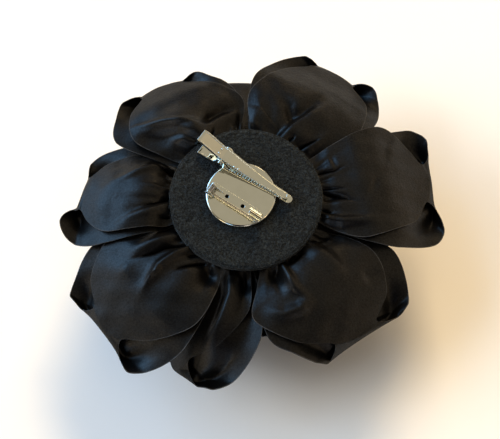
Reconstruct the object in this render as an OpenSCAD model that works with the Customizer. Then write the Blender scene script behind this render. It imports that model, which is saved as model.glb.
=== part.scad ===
// Flower brooch in black satin, lying face down with its fastenings up.
// Sizes are in millimetres. The surface that it lies on is z = 0, and +Z points to the pin side.
// Heights inside the flower are counted down from the felt's upper face.

/* [Felt] */
// Diameter of the round felt backing
felt_d = 62; // [58:1:64]
// Thickness of the felt
felt_t = 2; // [1.5:0.1:2.5]
// Height of the felt's upper face over the surface
felt_top = 45; // [45:1:48]

/* [Metal base] */
// Diameter of the round metal plate
plate_d = 28.4; // [27:0.2:30]
// Thickness of the plate
plate_t = 1.6; // [1.2:0.1:2]
// Place of the plate's middle beside the felt's middle
plate_x = -2; // [-4:0.5:0]
plate_y = 0.8; // [0:0.1:1.5]
// Turn of the clip and the pin bar in plan
fastening_turn = -34.5; // [-40:0.5:-30]

/* [Clip] */
// Length of the clip's jaw in front of its axle
jaw_len = 30.5; // [28:0.5:32]
// Length of the clip's handle behind its axle
handle_len = 11.5; // [11:0.5:13]
// Width of the clip's upper leaf at the axle
leaf_w = 5.4; // [5:0.1:5.6]
// Thickness of the clip's sheet metal
sheet_t = 0.45; // [0.4:0.05:0.5]
// Distance from the plate's middle to the clip's middle line
clip_side = 8.7; // [8.5:0.1:9.2]

/* [Pin] */
// Length of the pin bar
bar_len = 26; // [24:0.5:27]
// Width of the pin bar
bar_w = 5; // [4.8:0.1:5.2]
// Distance from the plate's middle to the bar's middle line
bar_side = 4.5; // [4.3:0.1:4.7]
// Diameter of the pin's wire
wire_d = 0.8; // [0.7:0.05:0.9]

/* [Petals] */
// Thickness of the petals' cloth as a wall
cloth_t = 1; // [1:0.1:1.2]
// Radius of the soft roll where a petal is folded over at its outer end
roll_r = 2.6; // [2.4:0.1:3]

/* [Hidden] */
BACK_NAMES = [
    "back_petal_right", "back_petal_upper_right", "back_petal_upper_left", "back_petal_left",
    "back_petal_lower_left", "back_petal_bottom", "back_petal_lower_right"
];

// The whole flower is shifted so that the middle of its box is over the origin
centre_shift = [-4.3, -2.4];
satin = [0.10, 0.10, 0.11];
felt_colour = [0.13, 0.13, 0.14];
metal = [0.78, 0.77, 0.74];
round_fn = 96;
fine_fn = 32;
sink = 0.05; // how far soldered pieces reach into each other
run_gap = 0.05; // clearance of a shaft in its hole

// Columns of the table of back petals. Angles are in degrees from +X, widths are measured
// from the petal's middle line, and left is the side that lies further round from +X to +Y.
ANGLE = 0; // direction of the petal
REACH = 1; // how far the folded end is from the felt's middle
LEFT = 2; // half-width of the upper lobe
RIGHT = 3;
FOLD_L = 4; // half-length of the folded end
FOLD_R = 5;
EAR_L = 6; // half-width of the lower lobe, whose corners show as ears
EAR_R = 7;
SIDE_L = 8; // height of the side beside the middle line: -1.5 lies over the neighbour, -6.5 under it
SIDE_R = 9;
LEVEL = 10; // height of the whole petal beside the others
SKEW = 11; // slope of the folded end
ROOT = 12; // how far the root lies to the left
BACK = [
    [10, 82, 25, 24, 14, 11, 26, 26, -1.5, -1.5, 0.0, 0.12, -1],
    [60, 81, 24, 24, 10, 10, 28, 28, -1.5, -7.2, 0.0, 0.00, 1],
    [121, 71, 26, 24, 11, 9, 31, 25, -1.5, -6.5, 0.0, 0.12, -2],
    [173, 70, 20, 20, 9, 8, 24, 23, -1.3, -7.3, 0.0, 0.18, 0],
    [222, 78, 26, 26, 14, 16, 28, 30, -1.5, -7.8, 0.0, 0.03, 1],
    [251, 72, 15, 15, 7, 11, 21, 19, -1.5, -1.5, -6.5, 0.18, 5],
    [311, 73, 26, 30, 18, 18, 32, 31, -6.8, -1.5, 0.0, 0.12, 0]
];

// Height of a petal's middle line under the felt's upper face, at each distance from the middle
BACK_RISE = [[22, -3.1], [31, -3.1], [38, -1.4], [46, -1.8], [55, -5], [64, -10], [72, -15], [82, -20]];
MIDDLE_RISE = [[12, -12], [24, -14], [34, -16], [50, -20.5], [62, -26], [70, -29.5], [80, -34]];
INNER_RISE = [[12, -18.5], [20, -21.5], [30, -26], [38, -31], [44, -35.6], [50, -41.1]];
HEART_RISE = [[12, -22.4], [17, -26.2], [22, -31.5], [26, -36], [30, -42]];

// Share of the half-width at each share of the way, for the upper lobe and for the lower lobe
UPPER_LOBE = [[0, .42], [.16, .64], [.25, .80], [.37, .95], [.5, 1], [.65, .97], [.77, .85], [.88, .65], [1, .37]];
LOWER_LOBE = [[0, .62], [.03, .76], [.08, .88], [.16, .96], [.3, 1], [.5, 1], [.68, .88], [.84, .62], [1, .38]];

// Main folds of the back petals: a row for each ridge, or dent where high is negative
OF = 0; // number of the petal in BACK
OUT = 1; // distance out along the petal
ASIDE = 2; // distance to the left of its middle line
LONG = 3; // half-length
WIDE = 4; // half-width
HIGH = 5; // height
TURN = 6; // direction beside the petal's own
FOLDS = [
    [0, 44, -4, 12, 3.0, -1.0, 6],
    [0, 56, -15, 12, 3.0, 1.0, -12],
    [1, 49, 13, 7, 5.0, 1.2, 0],
    [1, 55, 2, 14, 3.0, -1.2, -18],
    [2, 54, 10, 12, 3.0, 1.2, 38],
    [2, 49, -11, 10, 3.0, -1.4, -25],
    [3, 50, -6, 12, 3.0, 1.0, -14],
    [4, 48, -10, 10, 2.5, -1.4, -24],
    [4, 50, 4, 13, 3.0, 1.2, 8],
    [4, 42, 12, 8, 2.5, -1.2, -10],
    [5, 50, 3, 16, 3.0, 1.4, -6],
    [6, 40, -10, 7, 3.0, -1.4, 10],
    [6, 52, -6, 12, 3.5, 1.2, 24],
    [6, 52, 12, 10, 3.5, 1.0, 10]
];

// How finely the cloth is divided: shares along the upper lobe, degrees round the roll,
// shares along the lower lobe, and shares across
BACK_GRID = [
    [0, .16, .28, .4, .55, .7, .82, .92, 1], [45, 90, 135], [0, .05, .14, .28, .48, .74, 1],
    [-1, -.78, -.52, -.26, 0, .26, .52, .78, 1]
];
FRONT_GRID = [[0, .35, .65, .88, 1], [60, 120], [0, .1, .35, .7, 1], [-1, -.6, -.2, .2, .6, 1]];

// The whorls in front of the back petals: a row for each petal of the middle one
MIDDLE = [
    [38, 75, 20, 20, 8, 8, 23, 23, -1.5, -7, 0, 0, 0],
    [90.5, 72, 20, 20, 8, 8, 23, 23, -1.5, -7, 0, 0, 0],
    [142, 60, 19, 19, 8, 8, 21, 21, -1.5, -7, 0, 0, 0],
    [193, 58, 19, 19, 8, 8, 21, 21, -1.5, -7, 0, 0, 0],
    [244, 60, 19, 19, 8, 8, 21, 21, -1.5, -7, 0, 0, 0],
    [295, 49, 19, 19, 8, 8, 21, 21, -1.5, -7, 0, 0, 0],
    [347, 62, 19, 19, 8, 8, 21, 21, -1.5, -7, 0, 0, 0]
];
INNER = [for (k = [0:4]) [20 + 72 * k, 47, 20.5, 20.5, 9, 9, 22, 22, -1.5, -6.2, 0, 0, 0]];
HEART = [for (k = [0:3]) [350 + 90 * k, 27, 13, 13, 7, 7, 15, 15, -1.5, -5, 0, 0, 0]];

back_root = 22; // where the back petals start, under the felt
middle_root = 17.5; // where those of the next whorl start
front_root = 12.6; // where the others start, around the bud
back_thin = 1.8; // distance between the two lobes at the root
front_thin = 1.6;
gather_r = 20; // the gathered root opens to the petal's full shape from here on
gather_len = 14;
swell = 2.4; // how far the lower lobe hangs down in its middle
flat_in = 16; // half-width of the flat middle of a petal whose half-width is full_half, near the felt
flat_out = 24; // and further out
full_half = 25;
root_share = 0.4; // share of the petal's level that its root has
root_lean = 0.7; // share of its sides' slope that its root has
slope_len = 4; // the slope at the fold is measured over this length
ear_out = 3; // how far the lower lobe's corners reach out past the fold
ear_up = 2.2; // and how far they turn up

function clamp(x) = min(1, max(0, x));
function smooth(x) = let (c = clamp(x)) c * c * (3 - 2 * c);
function mix(a, b, share) = a + (b - a) * share;

// Half-width to the left or right of the middle line, as share says
function side_of(row, side, l, r) = side >= 0 ? row[l] : row[r];

// Height of a fold at a place beside the petal's middle line
function fold_height(f, out, aside) =
    let (
        a = out - f[OUT],
        b = aside - f[ASIDE],
        along = a * cos(f[TURN]) + b * sin(f[TURN]),
        across = b * cos(f[TURN]) - a * sin(f[TURN])
    )
    f[HIGH] * exp(-pow(along / f[LONG], 2) - pow(across / f[WIDE], 2));

no_folds = -1;
function folds_height(number, out, aside) =
    number == no_folds ? 0 : [for (f = FOLDS) if (f[OF] == number) fold_height(f, out, aside)]
        * [for (f = FOLDS) if (f[OF] == number) smooth((out - felt_d / 2) / 6)];

// Rises as the square does, and levels off beyond the petal's width
function bowed(share) = 1.25 * share * share / (1 + pow(share, 4) / 4);

// Height of the upper lobe over a place in plan, counted from the felt's upper face
function upper_height(row, rise, number, out, aside) =
    let (
        grown = smooth((out - gather_r) / gather_len),
        flat = mix(flat_in, flat_out, smooth((out - 30) / 20)) * side_of(row, aside, LEFT, RIGHT) / full_half,
        share = aside / flat,
        lean = (row[SIDE_L] - row[SIDE_R]) / 2,
        bow = (row[SIDE_L] + row[SIDE_R]) / 2
    )
    lookup(out, rise) + row[LEVEL] * mix(root_share, 1, grown)
        + (lean * share + bow * bowed(share)) * mix(root_lean, 1, grown)
        + folds_height(number, out, aside);

// Slope of the cloth where the roll starts
function end_slope(rise, reach) =
    atan((lookup(reach - roll_r - slope_len, rise) - lookup(reach - roll_r, rise)) / slope_len);

// Where the upper lobe ends and the roll starts
function roll_start(row, aside) = row[REACH] - roll_r + row[SKEW] * aside;

function upper_point(row, rise, number, root, a, u) =
    let (
        w = side_of(row, u, LEFT, RIGHT) * lookup(a, UPPER_LOBE),
        aside = u * w + row[ROOT] * (1 - smooth(a * 1.6)),
        out = mix(root, roll_start(row, aside), a)
    )
    [out, aside, upper_height(row, rise, number, out, aside)];

function roll_point(row, rise, number, turn, u) =
    let (
        from = side_of(row, u, LEFT, RIGHT) * UPPER_LOBE[len(UPPER_LOBE) - 1][1],
        fold = side_of(row, u, FOLD_L, FOLD_R),
        to = side_of(row, u, EAR_L, EAR_R) * LOWER_LOBE[0][1],
        w = turn < 90 ? mix(from, fold, turn / 90) : mix(fold, to, turn / 90 - 1),
        aside = u * w,
        slope = end_slope(rise, row[REACH]),
        start = roll_start(row, aside),
        high = upper_height(row, rise, number, start, aside)
    )
    [
        start - roll_r * sin(slope) + roll_r * sin(slope + turn),
        aside,
        high - roll_r * cos(slope) + roll_r * cos(slope + turn)
    ];

function lower_point(row, rise, number, root, thin, b, u) =
    let (
        w = side_of(row, u, EAR_L, EAR_R) * lookup(b, LOWER_LOBE),
        aside = u * w + row[ROOT] * smooth(b * 1.6 - .6),
        slope = end_slope(rise, row[REACH]),
        start = roll_start(row, aside) - 2 * roll_r * sin(slope),
        ear = smooth((abs(u) - .5) * 2) * (1 - smooth(b * 4)),
        out = mix(start, root, b) + ear_out * ear,
        at_end = 2 * roll_r / cos(slope),
        gap = mix(at_end, thin, smooth(b * 2.5)) + swell * sin(180 * b) * (1 - u * u)
    )
    [out, aside, upper_height(row, rise, number, out, aside) - gap + ear_up * ear];

// The middle of the cloth as rows of points, from the root over the roll and back to the root
function cloth_rows(row, rise, number, root, thin, grid) = concat(
    [for (a = grid[0]) [for (u = grid[3]) upper_point(row, rise, number, root, a, u)]],
    [for (t = grid[1]) [for (u = grid[3]) roll_point(row, rise, number, t, u)]],
    [for (b = grid[2]) [for (u = grid[3]) lower_point(row, rise, number, root, thin, b, u)]]
);

function unit(v) = v / max(norm(v), 0.001);

// Direction straight out of the cloth at one of its points
function cloth_normal(rows, i, j) =
    let (
        last_i = len(rows) - 1,
        last_j = len(rows[0]) - 1,
        along = rows[min(i + 1, last_i)][j] - rows[max(i - 1, 0)][j],
        across = rows[i][min(j + 1, last_j)] - rows[i][max(j - 1, 0)]
    )
    unit(cross(along, across));

// A wall of even thickness along rows of points, as one closed solid
module cloth_wall(rows, thick) {
    m = len(rows);
    n = len(rows[0]);
    count = m * n;
    faces_of = [for (side = [1, -1]) for (i = [0:m - 1]) for (j = [0:n - 1])
        rows[i][j] + cloth_normal(rows, i, j) * side * thick / 2];
    function at(i, j) = i * n + j;
    sheets = [for (i = [0:m - 2]) for (j = [0:n - 2]) each [
        [at(i, j), at(i + 1, j), at(i + 1, j + 1)],
        [at(i, j), at(i + 1, j + 1), at(i, j + 1)],
        [count + at(i, j), count + at(i + 1, j + 1), count + at(i + 1, j)],
        [count + at(i, j), count + at(i, j + 1), count + at(i + 1, j + 1)]
    ]];
    rim = concat(
        [for (i = [0:m - 2]) [at(i, 0), at(i + 1, 0)]],
        [for (j = [0:n - 2]) [at(m - 1, j), at(m - 1, j + 1)]],
        [for (i = [m - 2:-1:0]) [at(i + 1, n - 1), at(i, n - 1)]],
        [for (j = [n - 2:-1:0]) [at(0, j + 1), at(0, j)]]
    );
    rims = [for (e = rim) each [
        [e[1], e[0], count + e[0]],
        [e[1], count + e[0], count + e[1]]
    ]];
    polyhedron(points = faces_of, faces = concat(sheets, rims), convexity = 6);
}

// Puts a petal of the flower in its place from the petal's own directions
module petal(row, rise, number, root, thin, grid) {
    color(satin)
        translate([0, 0, felt_top])
        rotate([0, 0, row[ANGLE]])
        cloth_wall(cloth_rows(row, rise, number, root, thin, grid), cloth_t);
}

module back_petal(number) {
    petal(BACK[number], BACK_RISE, number, back_root, back_thin, BACK_GRID);
}

module front_petal(row, rise, root) {
    petal(row, rise, no_folds, root, front_thin, FRONT_GRID);
}

// The rolled middle: one strip of cloth wound round itself, gathered at the felt and open below.
// Columns: share of the way down, share of the radius there for the outermost turn
BUD_FLARE = [[0, .8], [.55, 1], [.85, 1.14], [1, 1.36]];
bud_turns = 3;
bud_steps = 14;
bud_in = 1.6;
bud_out = 11.5;
bud_low = 1; // height of the innermost turn's end over the surface
bud_step_up = 4; // how much higher the outermost turn ends
bud_gap = 0.3; // clearance under the felt
module flower_bud() {
    last = bud_turns * bud_steps;
    rows = [for (k = [0:last])
        let (
            share = k / last,
            r = mix(bud_in, bud_out, share),
            turn = 360 * k / bud_steps
        )
        [for (part = BUD_FLARE)
            let (
                wide = r * mix(1, part[1], share),
                high = mix(felt_top - felt_t - bud_gap, bud_low + bud_step_up * share, part[0])
            )
            [wide * cos(turn), wide * sin(turn), high]
        ]
    ];
    color(satin) cloth_wall(rows, cloth_t);
}

module felt_disc() {
    color(felt_colour)
        translate([0, 0, felt_top - felt_t])
        cylinder(d = felt_d, h = felt_t, $fn = round_fn);
}

// Puts its children in the frame of the fastenings: over the plate's middle, on the plate's
// upper face, X along the clip towards its tip
module on_plate() {
    translate([plate_x, plate_y, felt_top + plate_t])
        rotate([0, 0, fastening_turn])
        children();
}

module plate() {
    rim_r = plate_t / 2;
    translate([0, 0, -plate_t]) rotate_extrude($fn = round_fn) {
        square([plate_d / 2 - rim_r, plate_t]);
        translate([plate_d / 2 - rim_r, rim_r]) circle(r = rim_r, $fn = fine_fn);
    }
}

// The clip's own places: X is counted from its axle and Z from the plate's upper face
axle_x = -13.8; // the axle beside the plate's middle, along the clip
axle_z = 3.4;
axle_r = 0.6;
head_r = 1.05;
ear_r = 2.1;
tooth = 1.25; // length of a tooth
tooth_h = 0.3; // half of a tooth's height
bite_gap = 0.2;
tooth_count = 20;
first_tooth = 4;
bite_start = 1.7; // height of the line where the jaws meet, at the first tooth
bite_end = 0.9; // and at the last one
lower_w = 6.9;
lower_tip_w = 3.5;
leaf_tip_w = 2.9;
handle_z = 10.6; // height of the upper handle's end
lower_handle_z = -0.8;
bend_x = -3; // where the lower strip bends down to its handle
taper_x = 3; // where both leaves start to taper
taper_end = 25; // and where they have the width of their tips
past_teeth = 2; // how far the lower jaw reaches past the upper one
big = 20; // longer than anything on the clip
rim_up = 0.22; // how far the upper leaf's folded sides stand up over it
dimple_r = 0.5;
dimple_up = 0.1; // height of a bump's middle over the leaf
DIMPLES = [[-1.9, 1.05], [-1.9, -1.05], [6.2, -2.1], [8, -1.95]]; // places of the pressed bumps

module on_clip() {
    on_plate() translate([axle_x, clip_side, 0]) children();
}

function bite(x) = mix(bite_start, bite_end, (x - first_tooth) / (tooth * tooth_count));
function toothed_edge(shift) = [for (k = [0:2 * tooth_count])
    let (x = first_tooth + k * tooth / 2)
    [x, bite(x) + (k % 2 == 0 ? -tooth_h : tooth_h) + shift]
];

// Turns an outline drawn in X and Z into a solid that spans the clip's width
module across_clip(width) {
    translate([0, width / 2, 0]) rotate([90, 0, 0]) linear_extrude(width) children();
}

// The leaf's outline in plan, tapering from the axle to a round tip
module leaf_plan(width, tip, end, inset) {
    w = width / 2 - inset;
    t = tip / 2 - inset;
    back = -handle_len + inset;
    tip_x = end - tip / 2;
    polygon([
        [back, -w], [taper_x, -w], [taper_end, -t], [tip_x, -t],
        [tip_x, t], [taper_end, t], [taper_x, w], [back, w]
    ]);
    translate([tip_x, 0]) circle(r = t, $fn = fine_fn);
}

module leaf_shape(width, tip, end) {
    linear_extrude(big, center = true) leaf_plan(width, tip, end, 0);
}

module leaf_rim(width, tip, end) {
    linear_extrude(big, center = true) difference() {
        leaf_plan(width, tip, end, 0);
        leaf_plan(width, tip, end, sheet_t);
    }
}

module axle_hole(radius) {
    translate([0, big / 2, axle_z]) rotate([90, 0, 0]) cylinder(r = radius, h = big, $fn = fine_fn);
}

module lower_jaw() {
    end = jaw_len + past_teeth;
    teeth_end = first_tooth + tooth * tooth_count;
    difference() {
        union() {
            // The flat strip that lies on the plate
            intersection() {
                across_clip(big) polygon([
                    [-handle_len, lower_handle_z], [bend_x, 0], [bend_x, -sink], [end, -sink],
                    [end, sheet_t], [bend_x, sheet_t], [-handle_len, lower_handle_z + sheet_t]
                ]);
                leaf_shape(lower_w, lower_tip_w, end);
            }
            // Its upright sides, with the teeth and the ears that hold the axle
            intersection() {
                across_clip(big) {
                    polygon(concat(
                        [[-handle_len, lower_handle_z], [bend_x, 0], [teeth_end + 2, 0], [teeth_end + 2, 0.6]],
                        [for (k = [2 * tooth_count:-1:0]) toothed_edge(-bite_gap / 2)[k]],
                        [[ear_r, axle_z], [-ear_r, axle_z], [-ear_r - 1.5, 1], [-handle_len, 0.2]]
                    ));
                    translate([0, axle_z]) circle(r = ear_r, $fn = fine_fn);
                }
                leaf_rim(lower_w, lower_tip_w, end);
            }
        }
        axle_hole(axle_r + run_gap);
    }
}

// Upper edge of the upper leaf, from the handle's end to the tip
LEAF_TOP = [
    [-handle_len, handle_z], [-2.5, 6.4], [0, 5.7], [3, 5.2], [7, 4.35], [12, 3.3], [17, 2.55], [22, 2.1], [jaw_len, 1.7]
];
function leaf_top(x) = lookup(x, LEAF_TOP);
function raised(outline, up) = [for (p = outline) p + [0, up]];

module clip_upper_jaw() {
    color(metal) on_clip() difference() {
        union() {
            intersection() {
                across_clip(big) polygon(concat(
                    LEAF_TOP,
                    [for (k = [len(LEAF_TOP) - 1:-1:0]) LEAF_TOP[k] - [0, sheet_t * 1.1]]
                ));
                leaf_shape(leaf_w, leaf_tip_w, jaw_len);
            }
            // Its folded sides, with the teeth and the ears
            intersection() {
                across_clip(big) {
                    polygon(concat(
                        raised(LEAF_TOP, rim_up),
                        [for (k = [2 * tooth_count:-1:0]) toothed_edge(bite_gap / 2)[k]],
                        [[ear_r, axle_z], [-ear_r, axle_z], [-ear_r - 0.6, 5], [-handle_len, handle_z - 1.6]]
                    ));
                    translate([0, axle_z]) circle(r = ear_r, $fn = fine_fn);
                }
                leaf_rim(leaf_w, leaf_tip_w, jaw_len);
            }
            for (p = DIMPLES)
                translate([p[0], p[1], leaf_top(p[0]) + dimple_up]) sphere(r = dimple_r, $fn = fine_fn);
        }
        axle_hole(axle_r + run_gap);
    }
}

module clip_axle() {
    half = lower_w / 2;
    head_t = 0.5;
    color(metal) on_clip() translate([0, 0, axle_z]) rotate([90, 0, 0]) {
        translate([0, 0, -half - 0.1]) cylinder(r = axle_r, h = 2 * half + 0.2, $fn = fine_fn);
        for (end = [-1, 1])
            translate([0, 0, end * (half + 0.1 + head_t / 2) - head_t / 2])
                cylinder(r = head_r, h = head_t, $fn = fine_fn);
    }
}

// A wire ring whose axis is Y
module ring(radius, wire_r) {
    rotate([90, 0, 0]) rotate_extrude($fn = round_fn)
        translate([radius, 0]) circle(r = wire_r, $fn = fine_fn);
}

spring_r = 1.15;
spring_wire = 0.3;
spring_rings = 5;
module clip_spring() {
    pitch = spring_wire * 1.9;
    span = pitch * (spring_rings - 1);
    color(metal) on_clip() translate([0, 0, axle_z]) {
        for (k = [0:spring_rings - 1])
            translate([0, k * pitch - span / 2, 0]) ring(spring_r, spring_wire);
        // The leg that bears on the lower leaf
        translate([0, span / 2, -spring_r]) rotate([0, 98, 0])
            cylinder(r = spring_wire, h = 6, $fn = fine_fn);
    }
}

// The pin's own places: X is counted from the bar's middle and Z from the bar's upper face
bar_t = 0.6;
rivet_x = -10.6;
rivet_z = 1.75;
rivet_r = 0.55;
coil_r = rivet_r + run_gap + wire_d / 2;
coil_turns = 4;
stem_y = -2.3;
catch_x = 7.4;
catch_len = 5.6;
catch_y = -0.9;
catch_r = 1.5;
catch_t = 0.45;
catch_open = [75, 235]; // the catch's roll is open from the first angle to the second
stem_end_x = 13.4;
stem_end_z = 1.5;
point_len = 3.5;
bar_x = 0.15; // the bar's middle beside the plate's
hinge_w = 4.2;
hinge_y = -1.15; // middle of the hinge
hinge_ear_t = 0.5;
hinge_ear_r = 1.3;
hinge_tab = 1.7; // half-length of the bar's wide part at the hinge
// Columns: side of the hinge, how far the ear's foot reaches along the bar
HINGE_EARS = [[1, 5.3], [-1, 2.4]];
foot_z = 0.35; // height of the end of an ear's foot
hole_r = 0.85;
hole_y = 0.2;
HOLE_X = [-3.9, 3.7]; // where the bar is riveted to the plate

module on_bar() {
    on_plate() translate([bar_x, -bar_side, bar_t]) children();
}

// The hollow rivets, open down to the felt
module rivet_holes() {
    for (x = HOLE_X)
        translate([x, hole_y, -bar_t - plate_t - 1]) cylinder(r = hole_r, h = bar_t + plate_t + 2, $fn = fine_fn);
}

module pin_bar() {
    difference() {
        union() {
            translate([0, 0, -bar_t - sink]) linear_extrude(bar_t + sink) {
                square([bar_len - bar_w, bar_w], center = true);
                for (end = [-1, 1])
                    translate([end * (bar_len - bar_w) / 2, 0]) circle(d = bar_w, $fn = fine_fn);
                translate([rivet_x - hinge_tab, hinge_y - hinge_w / 2]) square([2 * hinge_tab, hinge_w]);
            }
            for (ear = HINGE_EARS)
                translate([rivet_x, hinge_y + ear[0] * (hinge_w - hinge_ear_t) / 2 + hinge_ear_t / 2, 0])
                    rotate([90, 0, 0]) linear_extrude(hinge_ear_t) {
                        polygon([
                            [-hinge_ear_r, -sink], [ear[1], -sink], [ear[1], foot_z],
                            [hinge_ear_r, rivet_z], [-hinge_ear_r, rivet_z]
                        ]);
                        translate([0, rivet_z]) circle(r = hinge_ear_r, $fn = fine_fn);
                    }
        }
        translate([rivet_x, hinge_w, rivet_z]) rotate([90, 0, 0])
            cylinder(r = rivet_r + run_gap, h = 3 * hinge_w, $fn = fine_fn);
    }
    // The catch: the bar's side rolled up beside the stem, open above it
    translate([catch_x, catch_y, catch_r + catch_t - sink]) rotate([90, 0, 90]) linear_extrude(catch_len)
        difference() {
            circle(r = catch_r + catch_t, $fn = round_fn);
            circle(r = catch_r, $fn = round_fn);
            rotate(catch_open[0]) square(3 * catch_r);
            rotate(catch_open[1] - 90) square(3 * catch_r);
        }
}

module metal_base() {
    color(metal) difference() {
        union() {
            on_plate() plate();
            on_clip() lower_jaw();
            on_bar() pin_bar();
        }
        on_bar() rivet_holes();
    }
}

rivet_head_r = 0.85;
rivet_head_t = 0.3;
module pin_rivet() {
    half = hinge_w / 2 + 0.1;
    color(metal) on_bar() translate([rivet_x, hinge_y, rivet_z]) rotate([90, 0, 0]) {
        translate([0, 0, -half]) cylinder(r = rivet_r, h = 2 * half, $fn = fine_fn);
        for (end = [-1, 1])
            translate([0, 0, end * (half + rivet_head_t / 2) - rivet_head_t / 2])
                cylinder(r = rivet_head_r, h = rivet_head_t, $fn = fine_fn);
    }
}

module pin_stem() {
    pitch = wire_d * 0.95;
    low_z = rivet_z - coil_r;
    rise = atan((stem_end_z - low_z) / (stem_end_x - rivet_x));
    straight = (stem_end_x - rivet_x) / cos(rise) - point_len;
    color(metal) on_bar() {
        for (k = [0:coil_turns - 1])
            translate([rivet_x, stem_y + k * pitch, rivet_z]) ring(coil_r, wire_d / 2);
        translate([rivet_x, stem_y, low_z]) rotate([0, 90 - rise, 0]) {
            cylinder(d = wire_d, h = straight, $fn = fine_fn);
            translate([0, 0, straight]) cylinder(d1 = wire_d, d2 = 0.12, h = point_len, $fn = fine_fn);
        }
    }
}

module placed() {
    translate([centre_shift[0], centre_shift[1], 0]) children();
}

placed() felt_disc();
placed() metal_base();
placed() clip_upper_jaw();
placed() clip_axle();
placed() clip_spring();
placed() pin_stem();
placed() pin_rivet();
placed() flower_bud();
for (k = [0:len(BACK) - 1])
    placed() back_petal(k);
for (k = [0:len(MIDDLE) - 1])
    placed() front_petal(MIDDLE[k], MIDDLE_RISE, middle_root);
for (k = [0:len(INNER) - 1])
    placed() front_petal(INNER[k], INNER_RISE, front_root);
for (k = [0:len(HEART) - 1])
    placed() front_petal(HEART[k], HEART_RISE, front_root);
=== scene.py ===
# Flower brooch in black satin, lying face down with its clip and its pin up.
# Named lengths are in millimetres, or in metres where the name ends in _M, and named angles in degrees.
import math
from collections import namedtuple

import bpy
import numpy as np
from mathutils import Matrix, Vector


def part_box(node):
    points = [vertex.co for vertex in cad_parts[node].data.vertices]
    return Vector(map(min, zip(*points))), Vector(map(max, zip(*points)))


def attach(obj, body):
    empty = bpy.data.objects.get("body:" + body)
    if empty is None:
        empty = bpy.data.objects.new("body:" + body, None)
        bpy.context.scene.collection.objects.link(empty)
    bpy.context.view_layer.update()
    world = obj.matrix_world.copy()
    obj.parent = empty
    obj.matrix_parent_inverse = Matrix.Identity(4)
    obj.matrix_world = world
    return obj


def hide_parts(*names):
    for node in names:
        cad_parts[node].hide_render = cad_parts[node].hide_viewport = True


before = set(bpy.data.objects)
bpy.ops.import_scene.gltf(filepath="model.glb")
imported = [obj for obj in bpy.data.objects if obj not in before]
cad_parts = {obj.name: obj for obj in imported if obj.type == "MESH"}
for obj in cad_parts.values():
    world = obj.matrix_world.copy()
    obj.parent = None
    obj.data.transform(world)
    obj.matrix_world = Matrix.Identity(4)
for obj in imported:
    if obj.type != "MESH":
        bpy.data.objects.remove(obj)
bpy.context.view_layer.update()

MM = 0.001  # one millimetre in metres
METAL_NODES = ["metal_base", "clip_upper_jaw", "clip_axle", "clip_spring", "pin_stem", "pin_rivet"]

# The felt's place comes from the frame
felt_low, felt_high = (np.array(corner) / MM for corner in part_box("felt_disc"))
FELT_R = (felt_high[0] - felt_low[0]) / 2
FELT_T = felt_high[2] - felt_low[2]
MIDDLE = np.array([(felt_low[0] + felt_high[0]) / 2, (felt_low[1] + felt_high[1]) / 2, felt_high[2]])

# The photograph's view
IMAGE_W, IMAGE_H = 500, 439
FELT_PX = (245.8, 197.2)  # where the felt's middle is in the picture
VIEW_ELEVATION = 67.0
VIEW_DISTANCE = 420.0
MM_PER_PX = 0.403  # at the felt's height
SENSOR_W = 36.0
CLIP_START_M = 0.01


def smooth(x):
    """Eases from 0 to 1 while x goes from 0 to 1."""
    x = np.clip(x, 0.0, 1.0)
    return x * x * (3 - 2 * x)


def eased(x, start, length):
    """Eases from 0 to 1 from start on, over a length."""
    return smooth((x - start) / length)


def past_felt(out, before, length):
    """Eases from 0 to 1 at the felt's edge. It starts a little before it."""
    return smooth((out - FELT_R + before) / length)


def mix(a, b, share):
    return a + (b - a) * share


def through(table):
    """A smooth curve through the (x, y) rows of a table, which doesn't overshoot between them."""
    x, y = np.array(table, dtype=float).T
    step = np.diff(x)
    slope = np.diff(y) / step
    knot = np.zeros(len(x))
    same = slope[:-1] * slope[1:] > 0
    knot[1:-1][same] = 2 / (1 / slope[:-1][same] + 1 / slope[1:][same])
    knot[0], knot[-1] = slope[0], slope[-1]

    def at(value):
        value = np.clip(value, x[0], x[-1])
        i = np.clip(np.searchsorted(x, value, side="right") - 1, 0, len(step) - 1)
        t = (value - x[i]) / step[i]
        start = y[i] * (1 + 2 * t) * (1 - t) ** 2 + knot[i] * step[i] * t * (1 - t) ** 2
        end = y[i + 1] * (3 - 2 * t) * t ** 2 + knot[i + 1] * step[i] * t ** 2 * (t - 1)
        return start + end

    return at


# Petals

# Height of a petal's middle line over the felt's upper face, by distance from the felt's middle
BACK_RISE = [(22, -3.1), (31, -3.0), (38, -1.5), (46, -1.4), (55, -3.2), (64, -8.2), (72, -14), (82, -20)]
MIDDLE_RISE = [(12, -12), (24, -14), (34, -16), (50, -20.5), (62, -26), (70, -29.5), (80, -34)]
INNER_RISE = [(12, -18.5), (20, -21.5), (30, -26), (38, -31), (44, -35.6), (50, -41.1)]
HEART_RISE = [(12, -22.4), (17, -26.2), (22, -31.5), (26, -36), (30, -42)]

# Every raw edge runs from a petal's root over its folded end and back to the root. A Side holds the places
# that it passes, each as (how far out, how far aside) from the petal's middle line. On the upper lobe they
# are at the felt's edge, where it is widest, at its shoulder and at the cusp, where it meets the fold. Then
# comes the end of the fold. On the lower lobe they are at the corner of its ear, at its flank, where it is
# widest and at the felt's edge.
Side = namedtuple("Side", "felt widest shoulder cusp fold corner flank low_widest low_felt")

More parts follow.
